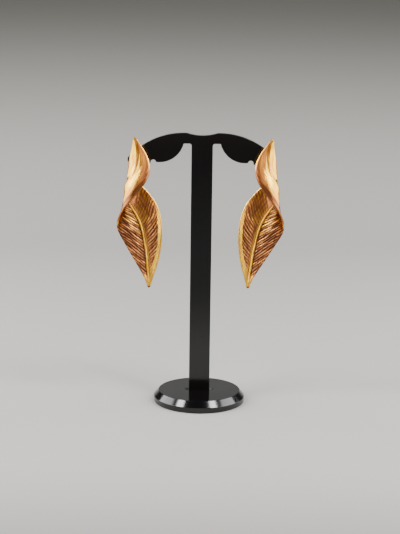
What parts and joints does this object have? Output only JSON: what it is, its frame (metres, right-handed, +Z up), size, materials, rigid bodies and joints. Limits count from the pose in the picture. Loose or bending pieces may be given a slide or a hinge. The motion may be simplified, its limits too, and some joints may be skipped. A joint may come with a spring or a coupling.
{
  "type": "pair of leaf stud earrings on an earring stand",
  "caption": "Mirrored pair of twisted cast leaf stud earrings, held by friction ear nuts on a plain flat T-shaped stand with a round bevelled base.",
  "frame": {"origin": "middle of the base disc's underside, on the table", "axes": "+Z up, +X to the right as the pair is seen from the front, +Y to the back"},
  "size_m": [0.0805, 0.045, 0.1332],
  "materials": {
    "gold_plated_brass": "polished, with an engraved veined face",
    "ear_nut_brass": "polished",
    "black_acrylic": "gloss"
  },
  "bodies": {
    "root": {"stand_base": "black_acrylic", "stand_upright": "black_acrylic", "left_leaf": "gold_plated_brass", "right_leaf": "gold_plated_brass", "left_ear_nut": "ear_nut_brass", "right_ear_nut": "ear_nut_brass"}
  },
  "joints": []
}
